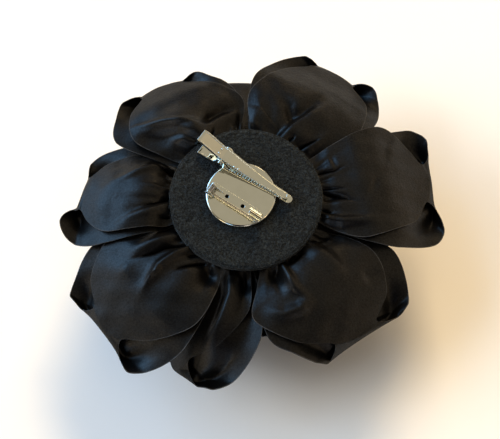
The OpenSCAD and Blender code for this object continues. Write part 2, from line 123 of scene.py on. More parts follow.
# Angle is from +X. Reach is how far the middle of the fold is from the felt's middle. The left side lies
# further round from +X to +Y. Over_l and over_r are the heights of the sides: -1.5 or more lies over the
# neighbour and -4 or less under it. Level lifts the whole petal. Puff is how far the gathered cloth stands
# up beside the felt, and gap how much further apart the two lobes are in the middle.
Petal = namedtuple("Petal", "name angle reach over_l over_r level puff gap left right")
BACK = [
    Petal(
        "back_petal_right", 10, 82, -1.5, -1.5, 0.0, -0.9, 1.2,
        Side((31, 15), (62, 26), (73, 17), (78, 10), (83, 16), (83, 21), (76, 27), (60, 23), (33, 14)),
        Side((31, 17), (46, 24), (67, 18), (76, 8), (80, 11), (80.5, 20), (74.5, 27.5), (58, 29), (33, 18)),
    ),
    Petal(
        "back_petal_upper_right", 60, 81, -1.5, -4.8, 0.0, -0.1, 0.8,
        Side((31, 16), (46, 24), (67, 18), (76, 11), (80, 10), (80, 15), (71, 23), (55, 27), (33, 18)),
        Side((31, 16), (52, 25), (70, 20), (77, 10), (80, 10), (82, 17), (77, 23), (62, 28), (33, 18)),
    ),
    Petal(
        "back_petal_upper_left", 121, 71, -1.5, -4.8, 0.0, 0.6, 1.2,
        Side(
            (31, 16), (48, 26), (60, 21), (67, 12), (70, 12), (70, 19.5), (63.5, 26.5), (52, 32.5), (33, 20),
        ),
        Side((31, 16), (43, 24), (57, 17), (65, 7), (68, 9), (68, 14), (62, 19), (50, 24), (33, 18)),
    ),
    Petal(
        "back_petal_left", 173, 70, -1.5, -5.8, 0.0, 2.6, 1.4,
        Side((31, 15), (53, 20), (63, 15), (68, 9), (71, 9), (75, 15), (71, 22), (60, 25), (33, 17)),
        Side((31, 14), (46, 16.5), (60, 11.5), (66, 6), (68, 8), (68, 13), (62, 19), (52, 22), (33, 16)),
    ),
    Petal(
        "back_petal_lower_left", 222, 78, -1.5, -5.0, 0.0, 0.8, 2.6,
        Side((31, 19), (49, 26), (65, 18), (74, 8), (79, 14), (80, 19), (73, 25), (59, 29), (33, 20)),
        Side((31, 17), (50, 26), (66, 20), (73, 10), (77, 16), (77, 21), (70, 26), (58, 30), (33, 19)),
    ),
    Petal(
        "back_petal_bottom", 251, 72.5, 0.5, -16.0, -7.0, 0.5, 1.6,
        Side((31, 13), (42, 16), (60, 8), (67, -1), (75, 6), (75, 11), (68, 19.5), (52, 24), (33, 17)),
        Side((31, 9), (45, 14), (57, 15), (61, 12), (66.5, 10), (67.5, 13), (60, 18), (50, 20), (33, 12)),
    ),
    Petal(
        "back_petal_lower_right", 311, 73, -4.8, -1.5, 0.0, 0.8, 2.6,
        Side((31, 17), (50, 25), (64, 19), (70, 8), (74, 18), (73, 23), (66, 29), (54, 33), (33, 20)),
        Side((31, 21), (41, 31), (57, 24), (67, 12), (70, 18), (68, 22), (60, 27), (50, 31), (33, 22)),
    ),
]

# The places of a front petal's side. The columns are the share of the way from where it gets free to its
# reach, the millimetres beyond that, and the share of its half-width.
EVEN_PLACES = [
    (0, 0, 0.62), (0.5, 0, 1), (0.8, 0, 0.78), (1, -3.2, 0.40), (1, -0.3, 0.45),
    (1, 0.8, 0.68), (0.84, 0, 1), (0.55, 0, 1.12), (0, 2, 0.72),
]
FRONT_OVER = -1.5  # height of the side that lies over the neighbour
FRONT_GAP = 2.0  # how much further apart the two lobes are in the middle


def even_petal(name, angle, reach, half, first, over_r):
    """A petal of the front whorls with two equal sides. First is how far out it gets free."""
    side = Side(*[(mix(first, reach, way) + more, share * half) for way, more, share in EVEN_PLACES])
    return Petal(name, angle, reach, FRONT_OVER, over_r, 0.0, 0.0, FRONT_GAP, side, side)


# Angle, reach and half-width of each petal in the second whorl
MIDDLE_PLACES = [
    (38, 75, 20), (90.5, 72, 20), (142, 60, 19), (193, 58, 19), (244, 60, 19), (295, 49, 19), (347, 62, 19),
]
MIDDLE_WHORL = [
    even_petal("middle_petal_%d" % (k + 1), angle, reach, half, first=28, over_r=-7.0)
    for k, (angle, reach, half) in enumerate(MIDDLE_PLACES)
]
INNER = [
    even_petal("inner_petal_%d" % (k + 1), angle=20 + 72 * k, reach=47, half=20.5, first=20, over_r=-6.2)
    for k in range(5)
]
HEART = [
    even_petal("heart_petal_%d" % (k + 1), angle=350 + 90 * k, reach=27, half=13, first=15, over_r=-5.0)
    for k in range(4)
]

CLOTH_T = 0.32
ROLL_R = 2.6  # radius of the soft roll at the folded end
ROOT_HALF = 9.0  # half-width of a petal's root under the felt
SLOPE_SPAN = 4.0  # the slope that the fold starts with is taken over this length before it

# The way along the cloth is counted in steps from one place of a Side to the next. Step 0 is the root of the
# upper lobe. From the cusp to where the cloth runs back, it turns over the fold.
CUSP_STEP = 4
BACK_STEP = 6
LAST_STEP = 10
FOLD_STEP = 5
# Share of the way from the root to the fold, by step
UPPER_WAY = [(0, 0), (1, 0.17), (2, 0.5), (3, 0.8), (4, 1)]
LOWER_WAY = [(6, 1), (7, 0.85), (8, 0.55), (9, 0.18), (10, 0)]
LOBE_ROUND = (2.0, 3.2)  # how squarely the upper and the lower lobe end: 2 is round
LOBES_CLOSE = 2.3  # how fast the lower lobe comes up to the upper one behind the fold
GAP_AT_SIDE = 0.5  # share of a petal's gap that is lost at its sides

GATHER_R = 20.0  # the gathered root opens to the petal's full shape from here on
GATHER_LEN = 14.0
LEVEL_AT_ROOT = 0.4  # share of a petal's level that it has at its root
LEAN_AT_ROOT = 0.7  # share of the heights of its sides that it has at its root
PUFF_AT = 40.0  # how far out the puffs are highest
PUFF_WIDE = 9.0
PUFF_START = (2, 6)  # how far inside the felt's edge the puffs start, and the length over which they grow

# A petal bows over its width. The half-width of the bow grows from the first value to the second on the way
# out, for a petal whose own half-width is BOW_PETAL.
BOW_HALF = (16, 24)
BOW_GROWS = (30, 20)  # how far out that starts, and over which length
BOW_PETAL = 25
BOW_LEAST = 15  # least half-width that counts for the bow

# The lower lobe's corners turn up into ears, with a hollow beside them. Bend is how near to the raw edge
# they turn up, and the hollow lies at a share of the half-width.
EAR_UP = 5.6
EAR_BEND = 4.0
EAR_DIP = 2.5
EAR_DIP_AT = 0.72
EAR_DIP_WIDE = 0.14
EAR_STARTS = (4.6, 1.2)  # the step where the ears begin, and the steps over which they grow
EAR_ENDS = (6.3, 1.5)  # the same for their end
DRAPE_ENDS = (4.5, 1.5)  # and for the end of the upper lobe's ridges and pleats

# Pleats that fan out from the gathered root. Each pleat is a groove with a soft ridge on each side.
PLEATS = 4
PLEAT_RIDGE = 0.45  # height of the ridges as a share of the groove's depth
PLEAT_RIDGE_WIDE = 2.6  # their width in groove widths
PLEAT_TURN_LEN = 20  # length over which a pleat turns aside
PLEAT_OPEN_LEN = 12  # length over which it gets twice as wide
PLEAT_RISE_LEN = 8  # length over which it rises from the root

# Soft ripples outside the gathered root, and fine streaks that fade away from the felt
RIPPLE_LENGTHS = (9, 11, 14, 17, 23)
RIPPLE_HIGH = 0.35
STREAK_WAVES = (9, 14, 21, 31)
STREAK_HIGH = 0.4
STREAK_LEN = 22
STREAK_SEED = 100

# Spacing of the rows along a petal
STEP_SAMPLES = 2001  # places where the way is measured
EDGE_COUNTS = 0.5  # how much the way along the raw edge counts beside the way along the middle
FOLD_ROWS = (1.2, 0.018)  # so many steps beside the fold, each sample counts so many millimetres more
LOWER_ROWS = (6.5, 0.4)  # from this step on, the way counts only by this share

# Main folds of the back petals, as places in plan from the felt's middle. The line runs from the fold's
# strong end to where it fades. A soft fold is round, a crease is sharp, and a lip is a step whose higher
# side is to the left of the line. Where high is negative the fold is a valley or the step is the other way.
Fold = namedtuple("Fold", "petal kind line wide high")
UR, UL, LT, LL, BT, LR, RT = (
    "back_petal_upper_right", "back_petal_upper_left", "back_petal_left", "back_petal_lower_left",
    "back_petal_bottom", "back_petal_lower_right", "back_petal_right",
)
FOLDS = [
    Fold(UL, "lip", [(-20, 26), (-28, 30), (-38, 30), (-50, 29)], 2.2, -3.8),
    Fold(UL, "soft", [(-19, 31), (-23, 33.5), (-34, 34), (-46, 33.5), (-52, 32)], 1.2, 1.0),
    Fold(UL, "soft", [(-20, 24), (-26, 26), (-33, 27)], 1.5, 1.1),
    Fold(UL, "soft", [(-24, 26), (-20, 20)], 9.0, 2.2),
    Fold(UL, "soft", [(-18, 32), (-15, 38), (-10, 42), (-2, 45)], 1.9, -2.2),
    Fold(UL, "soft", [(-5, 32), (-6, 37)], 1.6, 0.9),
    Fold(UL, "crease", [(-14, 29), (-13, 33)], 0.7, -1.0),
    Fold(LT, "soft", [(-30, 16), (-38, 15), (-45, 12), (-57, 7)], 1.9, 1.4),
    Fold(LT, "crease", [(-28, 12), (-33, 14), (-39, 18)], 0.9, -1.8),
    Fold(LT, "soft", [(-31, 4), (-43, 6)], 0.9, 0.5),
    Fold(LT, "lip", [(-29, 0), (-37, -4), (-46, -7), (-57, -13)], 1.3, 2.0),
    Fold(LT, "crease", [(-30, 1), (-37, -2.5), (-44, -4)], 0.8, -1.4),
    Fold(LT, "crease", [(-29, -7), (-36, -8)], 0.8, -1.2),
    Fold(LL, "crease", [(-23, -20), (-32, -21), (-36, -23), (-47, -26)], 0.9, -2.4),
    Fold(LL, "soft", [(-27, -15), (-38, -19), (-48, -23)], 2.4, 1.6),
    Fold(LL, "soft", [(-22, -21), (-27, -24), (-34, -29), (-37, -33), (-42, -41)], 1.8, 1.7),
    Fold(LL, "crease", [(-33, -29), (-37, -33), (-41, -39)], 1.1, 0.9),
    Fold(LL, "crease", [(-16, -27), (-23, -29), (-30, -31)], 0.9, -2.2),
    Fold(LL, "crease", [(-19, -24), (-24, -24.5)], 0.6, -1.2),
    Fold(LL, "soft", [(-13, -29), (-17, -36), (-18, -42)], 3.0, -1.6),
    Fold(LL, "soft", [(-50, -27), (-42, -35)], 2.8, 0.5),
    Fold(BT, "lip", [(-8, -29), (-8, -39), (-11, -48), (-15, -56), (-18, -62)], 1.3, 4.0),
    Fold(BT, "soft", [(-1, -31), (-1, -42)], 1.6, -1.2),
    Fold(UR, "soft", [(2, 34), (6, 42), (11, 43)], 5.5, 1.8),
    Fold(UR, "soft", [(20, 34), (18, 43), (13, 50)], 2.4, -1.5),
    Fold(UR, "lip", [(14, 29), (22, 37), (29, 42), (38, 49)], 1.3, -2.0),
    Fold(UR, "soft", [(20, 36), (25, 42), (34, 51)], 2.2, -1.2),
    Fold(UR, "crease", [(22, 24), (29, 27.5), (32, 29)], 0.9, -1.8),
    Fold(UR, "crease", [(18, 27), (21, 29)], 0.7, -1.2),
    Fold(UR, "soft", [(26, 24), (38, 33)], 2.0, 0.8),
    Fold(RT, "crease", [(30, 5), (42, 5)], 0.6, -1.0),
    Fold(RT, "crease", [(30, 4), (47, -1)], 0.9, -1.6),
    Fold(RT, "soft", [(33, 1), (43, 1.5)], 1.6, -0.9),
    Fold(RT, "crease", [(30, -4), (36, -6)], 0.8, -1.9),
    Fold(RT, "soft", [(30, -7), (39, -9), (57, -8)], 2.0, 1.5),
    Fold(RT, "crease", [(30, 12), (36, 13), (42, 16)], 0.9, -1.1),
    Fold(RT, "soft", [(35, 17), (38, 18)], 2.6, -0.4),
    Fold(RT, "lip", [(64, 35), (60, 26), (57, 11)], 1.3, 0.9),
    Fold(RT, "soft", [(51, 8), (55, 6)], 3.4, -0.5),
    Fold(LR, "soft", [(18, -24), (21, -27)], 2.6, -3.2),
    Fold(LR, "soft", [(11, -27), (13, -35), (15, -43)], 2.2, -2.0),
    Fold(LR, "soft", [(14, -28), (17, -34), (19, -38), (26, -44)], 1.7, 1.5),
    Fold(LR, "soft", [(27, -42), (21, -47), (15, -49), (5, -46)], 2.4, 1.3),
    Fold(LR, "lip", [(23, -15), (32, -21), (38, -28), (42, -39)], 1.8, -1.8),
    Fold(LR, "soft", [(46, -33), (56, -28)], 2.6, -0.7),
    Fold(LR, "crease", [(24, -16), (31, -17.5)], 0.8, -1.4),
]
FOLD_DEPTH = 1.6  # multiplies the height of all of them
FOLD_FADE = 0.95  # share of its height that a fold loses by its weak end
FOLD_START = (3, 4)  # how far inside the felt's edge the folds start, and the length over which they grow
FREE_FROM = 5  # a fold that starts further than this from the felt's edge eases in along its line
FREE_RISE = (0.1, 3)  # how far it has risen at its start, and how fast it goes on
CREASE_WIDE = 0.6  # a crease falls off over this share of its width
LIP_REACH = 5  # how many of its widths a lip reaches on each side


def fold_height(x, y, fold):
    """Height that a fold adds at plan places. It is full at its strong end and fades along its line."""
    line = np.array(fold.line, dtype=float)
    lengths = np.hypot(*np.diff(line, axis=0).T)
    whole = lengths.sum()
    nearest = np.full(np.shape(x), np.inf)
    along = np.zeros(np.shape(x))
    beside = np.zeros(np.shape(x))
    before = 0.0
    for (x0, y0), (x1, y1), length in zip(line[:-1], line[1:], lengths):
        dx, dy = (x1 - x0) / length, (y1 - y0) / length
        t = np.clip((x - x0) * dx + (y - y0) * dy, 0, length)
        ox, oy = x - x0 - t * dx, y - y0 - t * dy
        distance = np.hypot(ox, oy)
        closer = distance < nearest
        nearest = np.where(closer, distance, nearest)
        along = np.where(closer, (before + t) / whole, along)
        beside = np.where(closer, dx * oy - dy * ox, beside)
        before += length
    fade = 1 - smooth(along) ** 2 * FOLD_FADE
    if math.hypot(*fold.line[0]) > FELT_R + FREE_FROM:
        fade = fade * smooth(FREE_RISE[0] + along * FREE_RISE[1])
    if fold.kind == "soft":
        shape = np.exp(-(nearest / fold.wide) ** 2)
    elif fold.kind == "crease":
        shape = np.exp(-nearest / (CREASE_WIDE * fold.wide))
    else:
        side = np.sign(beside) * nearest
        shape = 0.5 * np.tanh(side / fold.wide) * np.exp(-(nearest / (LIP_REACH * fold.wide)) ** 2)
    return FOLD_DEPTH * fold.high * fade * shape


def ripples(x, y, seed):
    """Uneven soft waves over the plan: a few sine waves in chance directions."""
    rng = np.random.default_rng(seed)
    total = np.zeros(np.shape(x))
    for length in RIPPLE_LENGTHS:
        turn = rng.uniform(0, math.pi)
        phase = rng.uniform(0, 2 * math.pi)
        total += np.sin((x * math.cos(turn) + y * math.sin(turn)) * 2 * math.pi / length + phase)
    return RIPPLE_HIGH * total / len(RIPPLE_LENGTHS)


def streaks(out, share_across, seed):
    """Fine uneven waves that fan out with the cloth from its root."""
    rng = np.random.default_rng(seed + STREAK_SEED)
    total = np.zeros(np.broadcast(out, share_across).shape)
    for waves in STREAK_WAVES:
        bend = rng.uniform(-0.6, 0.6)
        phase = rng.uniform(0, 2 * math.pi)
        slow = np.sin(out / rng.uniform(5, 9) + rng.uniform(0, 6))
        angle = share_across * waves + bend * out / 10 + phase + 0.9 * slow
        total += np.sin(angle) * (1 + 0.5 * slow) / waves
    return total


def turned(step):
    """How far the cloth has turned over the fold at a step, in radians: half a turn in two steps."""
    return np.radians(np.clip(step - CUSP_STEP, 0, BACK_STEP - CUSP_STEP) * 90)


class Shape:
    """The form of one petal, in its own directions: out from the felt's middle, aside to its left and up."""

    def __init__(self, petal, rise, root, thin, seed):
        self.petal = petal
        self.rise = through(rise)
        self.root = root
        self.thin = thin
        self.seed = seed
        self.cos = math.cos(math.radians(petal.angle))
        self.sin = math.sin(math.radians(petal.angle))
        self.start = petal.reach - ROLL_R
        self.slope = math.atan((self.rise(self.start - SLOPE_SPAN) - self.rise(self.start)) / SLOPE_SPAN)
        self.edges = [self.edge(petal.left, 1), self.edge(petal.right, -1)]
        self.half = max(petal.left.widest[1], BOW_LEAST), max(petal.right.widest[1], BOW_LEAST)
        rng = np.random.default_rng(seed)
        # Place and width as shares of the half-width, depth, length, and how far it turns aside
        self.pleats = [
            ((k + rng.uniform(0.15, 0.85)) / PLEATS * 2 - 1, rng.uniform(0.04, 0.10), rng.uniform(0.3, 1.3),
             rng.uniform(5, 16), rng.uniform(-0.12, 0.12))
            for k in range(PLEATS)
        ]

    def edge(self, side, sign):
        """The raw edge on one side, as smooth curves of out and aside by the step."""
        places = [(self.root, ROOT_HALF), *side, (self.root, ROOT_HALF)]
        out = through([(k, place[0]) for k, place in enumerate(places)])
        aside = through([(k, place[1] * sign) for k, place in enumerate(places)])
        return out, aside

    def middle_out(self, step):
        """How far out the middle of the cloth is at each step."""
        upper = self.root + (self.start - self.root) * through(UPPER_WAY)(step)
        roll = self.start - ROLL_R * math.sin(self.slope) + ROLL_R * np.sin(self.slope + turned(step))
        end = self.start - 2 * ROLL_R * math.sin(self.slope)
        back = self.root + (end - self.root) * through(LOWER_WAY)(step)
        return np.where(step < CUSP_STEP, upper, np.where(step < BACK_STEP, roll, back))

    def place(self, out, aside):
        """Plan place from the felt's middle."""
        return out * self.cos - aside * self.sin, out * self.sin + aside * self.cos

    def upper_height(self, out, aside, share_across, folded):
        """Height of the upper lobe over the felt's face. Folded is the share of its ridges and pleats."""
        p = self.petal
        grown = eased(out, GATHER_R, GATHER_LEN)
        half = np.where(aside >= 0, self.half[0], self.half[1])
        share = aside / (mix(*BOW_HALF, eased(out, *BOW_GROWS)) * half / BOW_PETAL)
        lean = (p.over_l - p.over_r) / 2
        bow = (p.over_l + p.over_r) / 2
        # 1 at the bow's half-width, and never more than 1.25
        bowed = 1.25 * share ** 2 / (1 + share ** 4 / 4)
        high = self.rise(out) + p.level * mix(LEVEL_AT_ROOT, 1, grown)
        high = high + p.puff * np.exp(-((out - PUFF_AT) / PUFF_WIDE) ** 2) * past_felt(out, *PUFF_START)
        high = high + (lean * share + bow * bowed) * mix(LEAN_AT_ROOT, 1, grown)
        x, y = self.place(out, aside)
        drape = 0.0
        for fold in FOLDS:
            if fold.petal == p.name:
                drape = drape + fold_height(x, y, fold) * past_felt(out, *FOLD_START)
        high = high + mix(np.minimum(drape, 0.0), drape, folded)
        waves = ripples(x, y, self.seed) * grown
        near_felt = np.exp(-(out - FELT_R) / STREAK_LEN)
        waves = waves + STREAK_HIGH * streaks(out, share_across, self.seed) * near_felt
        return high + self.gathers(out, share_across, folded) + waves

    def gathers(self, out, share_across, folded):
        """Pleats that fan out from the gathered root, deep at the felt's edge."""
        total = np.zeros(np.broadcast(out, share_across).shape)
        past = np.maximum(out - FELT_R, 0)
        for where, wide, deep, long, turn in self.pleats:
            middle = where + turn * past / PLEAT_TURN_LEN
            near = (share_across - middle) / (wide * (1 + past / PLEAT_OPEN_LEN))
            groove = PLEAT_RIDGE * np.exp(-(near / PLEAT_RIDGE_WIDE) ** 2) - np.exp(-near ** 2)
            total = total + groove * deep * np.exp(-past / long)
        return total * folded * eased(out, GATHER_R, PLEAT_RISE_LEN)

    def rows(self, count, columns):
        """The middle of the cloth as rows of points in the row frame."""
        step = self.even_steps(count)[:, None]
        u = np.array(columns)[None, :]
        (out_l, aside_l), (out_r, aside_r) = ((out(step), aside(step)) for out, aside in self.edges)
        side = (u + 1) / 2
        bulge = self.middle_out(step) - (out_l + out_r) / 2
        rounded = 1 - np.abs(u) ** mix(*LOBE_ROUND, smooth(step - CUSP_STEP))
        out = mix(out_r, out_l, side) + bulge * rounded
        aside = mix(aside_r, aside_l, side)
        past = np.clip(step - BACK_STEP, 0, LAST_STEP - BACK_STEP) / (LAST_STEP - BACK_STEP)
        rolled = ROLL_R * (math.cos(self.slope) - np.cos(self.slope + turned(step)))
        at_end = 2 * ROLL_R * math.cos(self.slope)
        sag = self.petal.gap * np.sin(np.pi * past) * (1 - GAP_AT_SIDE * u ** 2)
        gap = mix(at_end, self.thin, smooth(past * LOBES_CLOSE)) + sag
        drop = np.where(step <= CUSP_STEP, 0, np.where(step < BACK_STEP, rolled, gap))
        hollow = np.exp(-((np.abs(u) - EAR_DIP_AT) / EAR_DIP_WIDE) ** 2)
        curl = EAR_UP * np.abs(u) ** EAR_BEND - EAR_DIP * hollow
        ear = curl * eased(step, *EAR_STARTS) * (1 - eased(step, *EAR_ENDS))
        folded = 1 - eased(step, *DRAPE_ENDS)
        up = self.upper_height(np.minimum(out, self.start), aside, u, folded) - drop + ear
        x, y = self.place(out, aside)
        return np.stack([x + MIDDLE[0], y + MIDDLE[1], up + MIDDLE[2]], axis=-1)

    def even_steps(self, count):
        """Steps along the cloth, close together round the fold and wider apart on the lower lobe."""
        fine = np.linspace(0, LAST_STEP, STEP_SAMPLES)
        edge_out, edge_aside = self.edges[0]
        along_edge = np.hypot(np.diff(edge_out(fine)), np.diff(edge_aside(fine)))
        apart = np.abs(np.diff(self.middle_out(fine))) + EDGE_COUNTS * along_edge
        apart += np.where(np.abs(fine[:-1] - FOLD_STEP) < FOLD_ROWS[0], FOLD_ROWS[1], 0.0)
        apart *= np.where(fine[:-1] < LOWER_ROWS[0], 1.0, LOWER_ROWS[1])
        way = np.concatenate([[0], np.cumsum(apart)])
        return np.interp(np.linspace(0, way[-1], count), way, fine)


def across(count, rim):
    """Shares across a petal, with one narrow strip at each raw edge."""
    inside = np.linspace(-1 + rim, 1 - rim, count)
    return [-1.0] + list(inside) + [1.0]


# Rows along a petal and columns across it
Grid = namedtuple("Grid", "along across")
BACK_RIM = 0.009  # width of a raw edge's strip as a share of the half-width
FRONT_RIM = 0.015
BACK_GRID = Grid(190, across(108, BACK_RIM))
FRONT_GRID = Grid(62, across(28, FRONT_RIM))


# Meshes

SHARP_ANGLE = 60.0  # an edge that bends more than this is shaded sharp
TINY = 1e-6  # keeps a division from failing where a length is nothing


def grid_faces(m, n, first=0, flip=False):
    """Quads between m rows of n points, which are counted from a first number."""
    i, j = np.meshgrid(np.arange(m - 1), np.arange(n - 1), indexing="ij")
    a = first + i * n + j
    faces = np.stack([a, a + n, a + n + 1, a + 1], axis=-1).reshape(-1, 4)
    return faces[:, ::-1] if flip else faces


def make_mesh(name, points, faces, materials, slots=None, sharp_angle=None):
    """A smooth-shaded mesh object. Slots holds a material number for each face."""
    mesh = bpy.data.meshes.new(name)
    mesh.from_pydata((points * MM).tolist(), [], faces)
    for material in materials:
        mesh.materials.append(material)
    if slots is not None:
        mesh.polygons.foreach_set("material_index", np.asarray(slots, dtype=np.int32))
    mesh.shade_smooth()
    if sharp_angle is not None:
        mesh.set_sharp_from_angle(angle=math.radians(sharp_angle))
    mesh.update()
    piece = bpy.data.objects.new(name, mesh)
    bpy.context.scene.collection.objects.link(piece)
    return piece


def cloth_piece(name, rows):
    """A closed sheet of even thickness along rows of points, with the raw edge's material at its sides."""
    along = np.gradient(rows, axis=0)
    side = np.gradient(rows, axis=1)
    normal = np.cross(along, side)
    normal /= np.maximum(np.linalg.norm(normal, axis=-1, keepdims=True), TINY)
    m, n = rows.shape[:2]
    count = m * n
    above = (rows + normal * CLOTH_T / 2).reshape(-1, 3)
    below = (rows - normal * CLOTH_T / 2).reshape(-1, 3)
    upper = grid_faces(m, n)
    lower = grid_faces(m, n, count, flip=True)
    ring = list(range(0, n - 1))
    ring += [i * n + n - 1 for i in range(m - 1)]
    ring += [count - 1 - j for j in range(n - 1)]
    ring += [i * n for i in range(m - 1, 0, -1)]
    ring = np.array(ring)
    after = np.roll(ring, -1)
    rim = np.stack([ring, after, after + count, ring + count], axis=-1)
    column = np.tile(np.arange(n - 1), m - 1)
    edge = ((column == 0) | (column == n - 2)).astype(int)
    slots = np.concatenate([edge, edge, np.ones(len(rim), dtype=int)])
    faces = np.concatenate([upper, lower, rim]).tolist()
    return make_mesh(name, np.concatenate([above, below]), faces, [SATIN, RAW_EDGE], slots, SHARP_ANGLE)


# Materials. A noise's scale is its number of cells in a metre, and a bump's depth is in metres.

EDGE_ROUND_M = 0.0002  # radius by which the light sees the metal's edges rounded


def new_material(name):
    material = bpy.data.materials.new(name)
    material.use_nodes = True
    nodes = material.node_tree.nodes
    return material, nodes, material.node_tree.links, nodes["Principled BSDF"]


def object_place(nodes):
    """A point's place on its object, in metres."""
    return nodes.new("ShaderNodeTexCoord").outputs["Object"]


def noise(nodes, links, vector, scale, detail, rough=0.55):
    texture = nodes.new("ShaderNodeTexNoise")
    texture.inputs["Scale"].default_value = scale
    texture.inputs["Detail"].default_value = detail
    texture.inputs["Roughness"].default_value = rough
    links.new(vector, texture.inputs["Vector"])
    return texture.outputs["Fac"]


def ramp(nodes, links, value, stops):
    """Colours by a value from 0 to 1, between stops."""
    node = nodes.new("ShaderNodeValToRGB")
    while len(node.color_ramp.elements) < len(stops):
        node.color_ramp.elements.new(0.5)
    for element, (place, colour) in zip(node.color_ramp.elements, stops):
        element.position = place
        element.color = (*colour, 1.0)
    links.new(value, node.inputs["Fac"])
    return node.outputs["Color"]


def spread(nodes, links, value, low, high, start=0.0, end=1.0):
    """Maps start..end to low..high."""
    node = nodes.new("ShaderNodeMapRange")
    node.inputs["From Min"].default_value = start
    node.inputs["From Max"].default_value = end
    node.inputs["To Min"].default_value = low
    node.inputs["To Max"].default_value = high
    links.new(value, node.inputs["Value"])
    return node.outputs["Result"]


def bump(nodes, links, height, strength, depth, base=None):
    node = nodes.new("ShaderNodeBump")
    node.inputs["Strength"].default_value = strength
    node.inputs["Distance"].default_value = depth
    links.new(height, node.inputs["Height"])
    if base is not None:
        links.new(base, node.inputs["Normal"])
    return node.outputs["Normal"]


def satin_material():
    """Black satin with fine threads, whose gloss is less where it is seen at a slant."""
    material, nodes, links, shader = new_material("black satin")
    vector = object_place(nodes)
    tone = noise(nodes, links, vector, scale=60, detail=4)
    colour = ramp(nodes, links, tone, [(0.3, (0.0014, 0.0014, 0.0015)), (0.7, (0.0027, 0.0026, 0.0025))])
    links.new(colour, shader.inputs["Base Color"])
    wear = noise(nodes, links, vector, scale=35, detail=3)
    links.new(spread(nodes, links, wear, low=0.35, high=0.44), shader.inputs["Roughness"])
    facing = nodes.new("ShaderNodeLayerWeight")
    facing.inputs["Blend"].default_value = 0.5
    gloss = spread(nodes, links, facing.outputs["Facing"], low=0.38, high=0.04, start=0.12, end=0.68)
    speckle = noise(nodes, links, vector, scale=1500, detail=3, rough=0.7)
    uneven = spread(nodes, links, speckle, low=0.65, high=1.35, start=0.3, end=0.7)
    both = nodes.new("ShaderNodeMath")
    both.operation = "MULTIPLY"
    links.new(gloss, both.inputs[0])
    links.new(uneven, both.inputs[1])
    links.new(both.outputs["Value"], shader.inputs["Specular IOR Level"])
    threads = nodes.new("ShaderNodeTexWave")
    threads.inputs["Scale"].default_value = 900
    threads.inputs["Distortion"].default_value = 2.0
    links.new(vector, threads.inputs["Vector"])
    weave = bump(nodes, links, threads.outputs["Fac"], strength=0.12, depth=0.0001)
    grains = noise(nodes, links, vector, scale=1300, detail=2)
    grain = bump(nodes, links, grains, strength=0.35, depth=0.0002, base=weave)
    crumples = noise(nodes, links, vector, scale=190, detail=4)
    crumple = bump(nodes, links, crumples, strength=0.3, depth=0.0005, base=grain)
    links.new(crumple, shader.inputs["Normal"])
    return material


def raw_edge_material():
    """The satin's cut edge, paler and duller than its face."""
    material, nodes, links, shader = new_material("satin raw edge")
    tone = noise(nodes, links, object_place(nodes), scale=700, detail=3)
    colour = ramp(nodes, links, tone, [(0.35, (0.020, 0.020, 0.021)), (0.7, (0.055, 0.055, 0.056))])
    links.new(colour, shader.inputs["Base Color"])
    shader.inputs["Roughness"].default_value = 0.75
    return material


def felt_material():
    """Charcoal felt, in dark and paler clumps of wool."""
    material, nodes, links, shader = new_material("charcoal felt")
    clumps = noise(nodes, links, object_place(nodes), scale=1500, detail=5, rough=0.75)
    stops = [
        (0.40, (0.0004, 0.0006, 0.0007)), (0.5, (0.0048, 0.0064, 0.0073)), (0.60, (0.020, 0.027, 0.031)),
    ]
    links.new(ramp(nodes, links, clumps, stops), shader.inputs["Base Color"])
    shader.inputs["Roughness"].default_value = 0.95
    shader.inputs["Specular IOR Level"].default_value = 0.2
    shader.inputs["Sheen Weight"].default_value = 0.06
    shader.inputs["Sheen Roughness"].default_value = 0.6
    links.new(bump(nodes, links, clumps, strength=0.6, depth=0.0004), shader.inputs["Normal"])
    return material


def fibre_material():
    """The felt's loose fibres, a little paler than its face."""
    material, nodes, links, shader = new_material("felt fibres")
    tone = noise(nodes, links, object_place(nodes), scale=400, detail=2)
    colour = ramp(nodes, links, tone, [(0.35, (0.008, 0.009, 0.009)), (0.65, (0.05, 0.054, 0.054))])
    links.new(colour, shader.inputs["Base Color"])
    shader.inputs["Roughness"].default_value = 0.7
    return material


def metal_material(name, dark, light, least_rough, most_rough):
    """Metal between two tones, with faint waves and with edges that look rounded."""
    material, nodes, links, shader = new_material(name)
    vector = object_place(nodes)
    stain = noise(nodes, links, vector, scale=220, detail=4)
    links.new(ramp(nodes, links, stain, [(0.3, dark), (0.7, light)]), shader.inputs["Base Color"])
    shader.inputs["Metallic"].default_value = 1.0
    wear = noise(nodes, links, vector, scale=500, detail=4)
    links.new(spread(nodes, links, wear, least_rough, most_rough), shader.inputs["Roughness"])
    rounded = nodes.new("ShaderNodeBevel")
    rounded.inputs["Radius"].default_value = EDGE_ROUND_M
    rounded.samples = 8
    waves = noise(nodes, links, vector, scale=260, detail=2)
    wavy = bump(nodes, links, waves, strength=0.04, depth=0.0004, base=rounded.outputs["Normal"])
    links.new(wavy, shader.inputs["Normal"])
    return material


def floor_material():
    material, _, _, shader = new_material("pale floor")
    shader.inputs["Base Color"].default_value = (0.86, 0.86, 0.86, 1)
    shader.inputs["Roughness"].default_value = 0.7
    return material


SATIN = satin_material()
RAW_EDGE = raw_edge_material()
FELT = felt_material()
FIBRE = fibre_material()
NICKEL = metal_material(
    "polished nickel plate", dark=(0.88, 0.91, 0.82), light=(0.93, 0.96, 0.88),
    least_rough=0.02, most_rough=0.08,
)
# Darker metal for the pin stem: painted shade that stands in for the dark shadow line along the bar
SHADED_STEM_METAL = metal_material(
    "drawn steel wire", dark=(0.40, 0.40, 0.38), light=(0.50, 0.50, 0.47),
    least_rough=0.10, most_rough=0.20,
)


# Cloth pieces

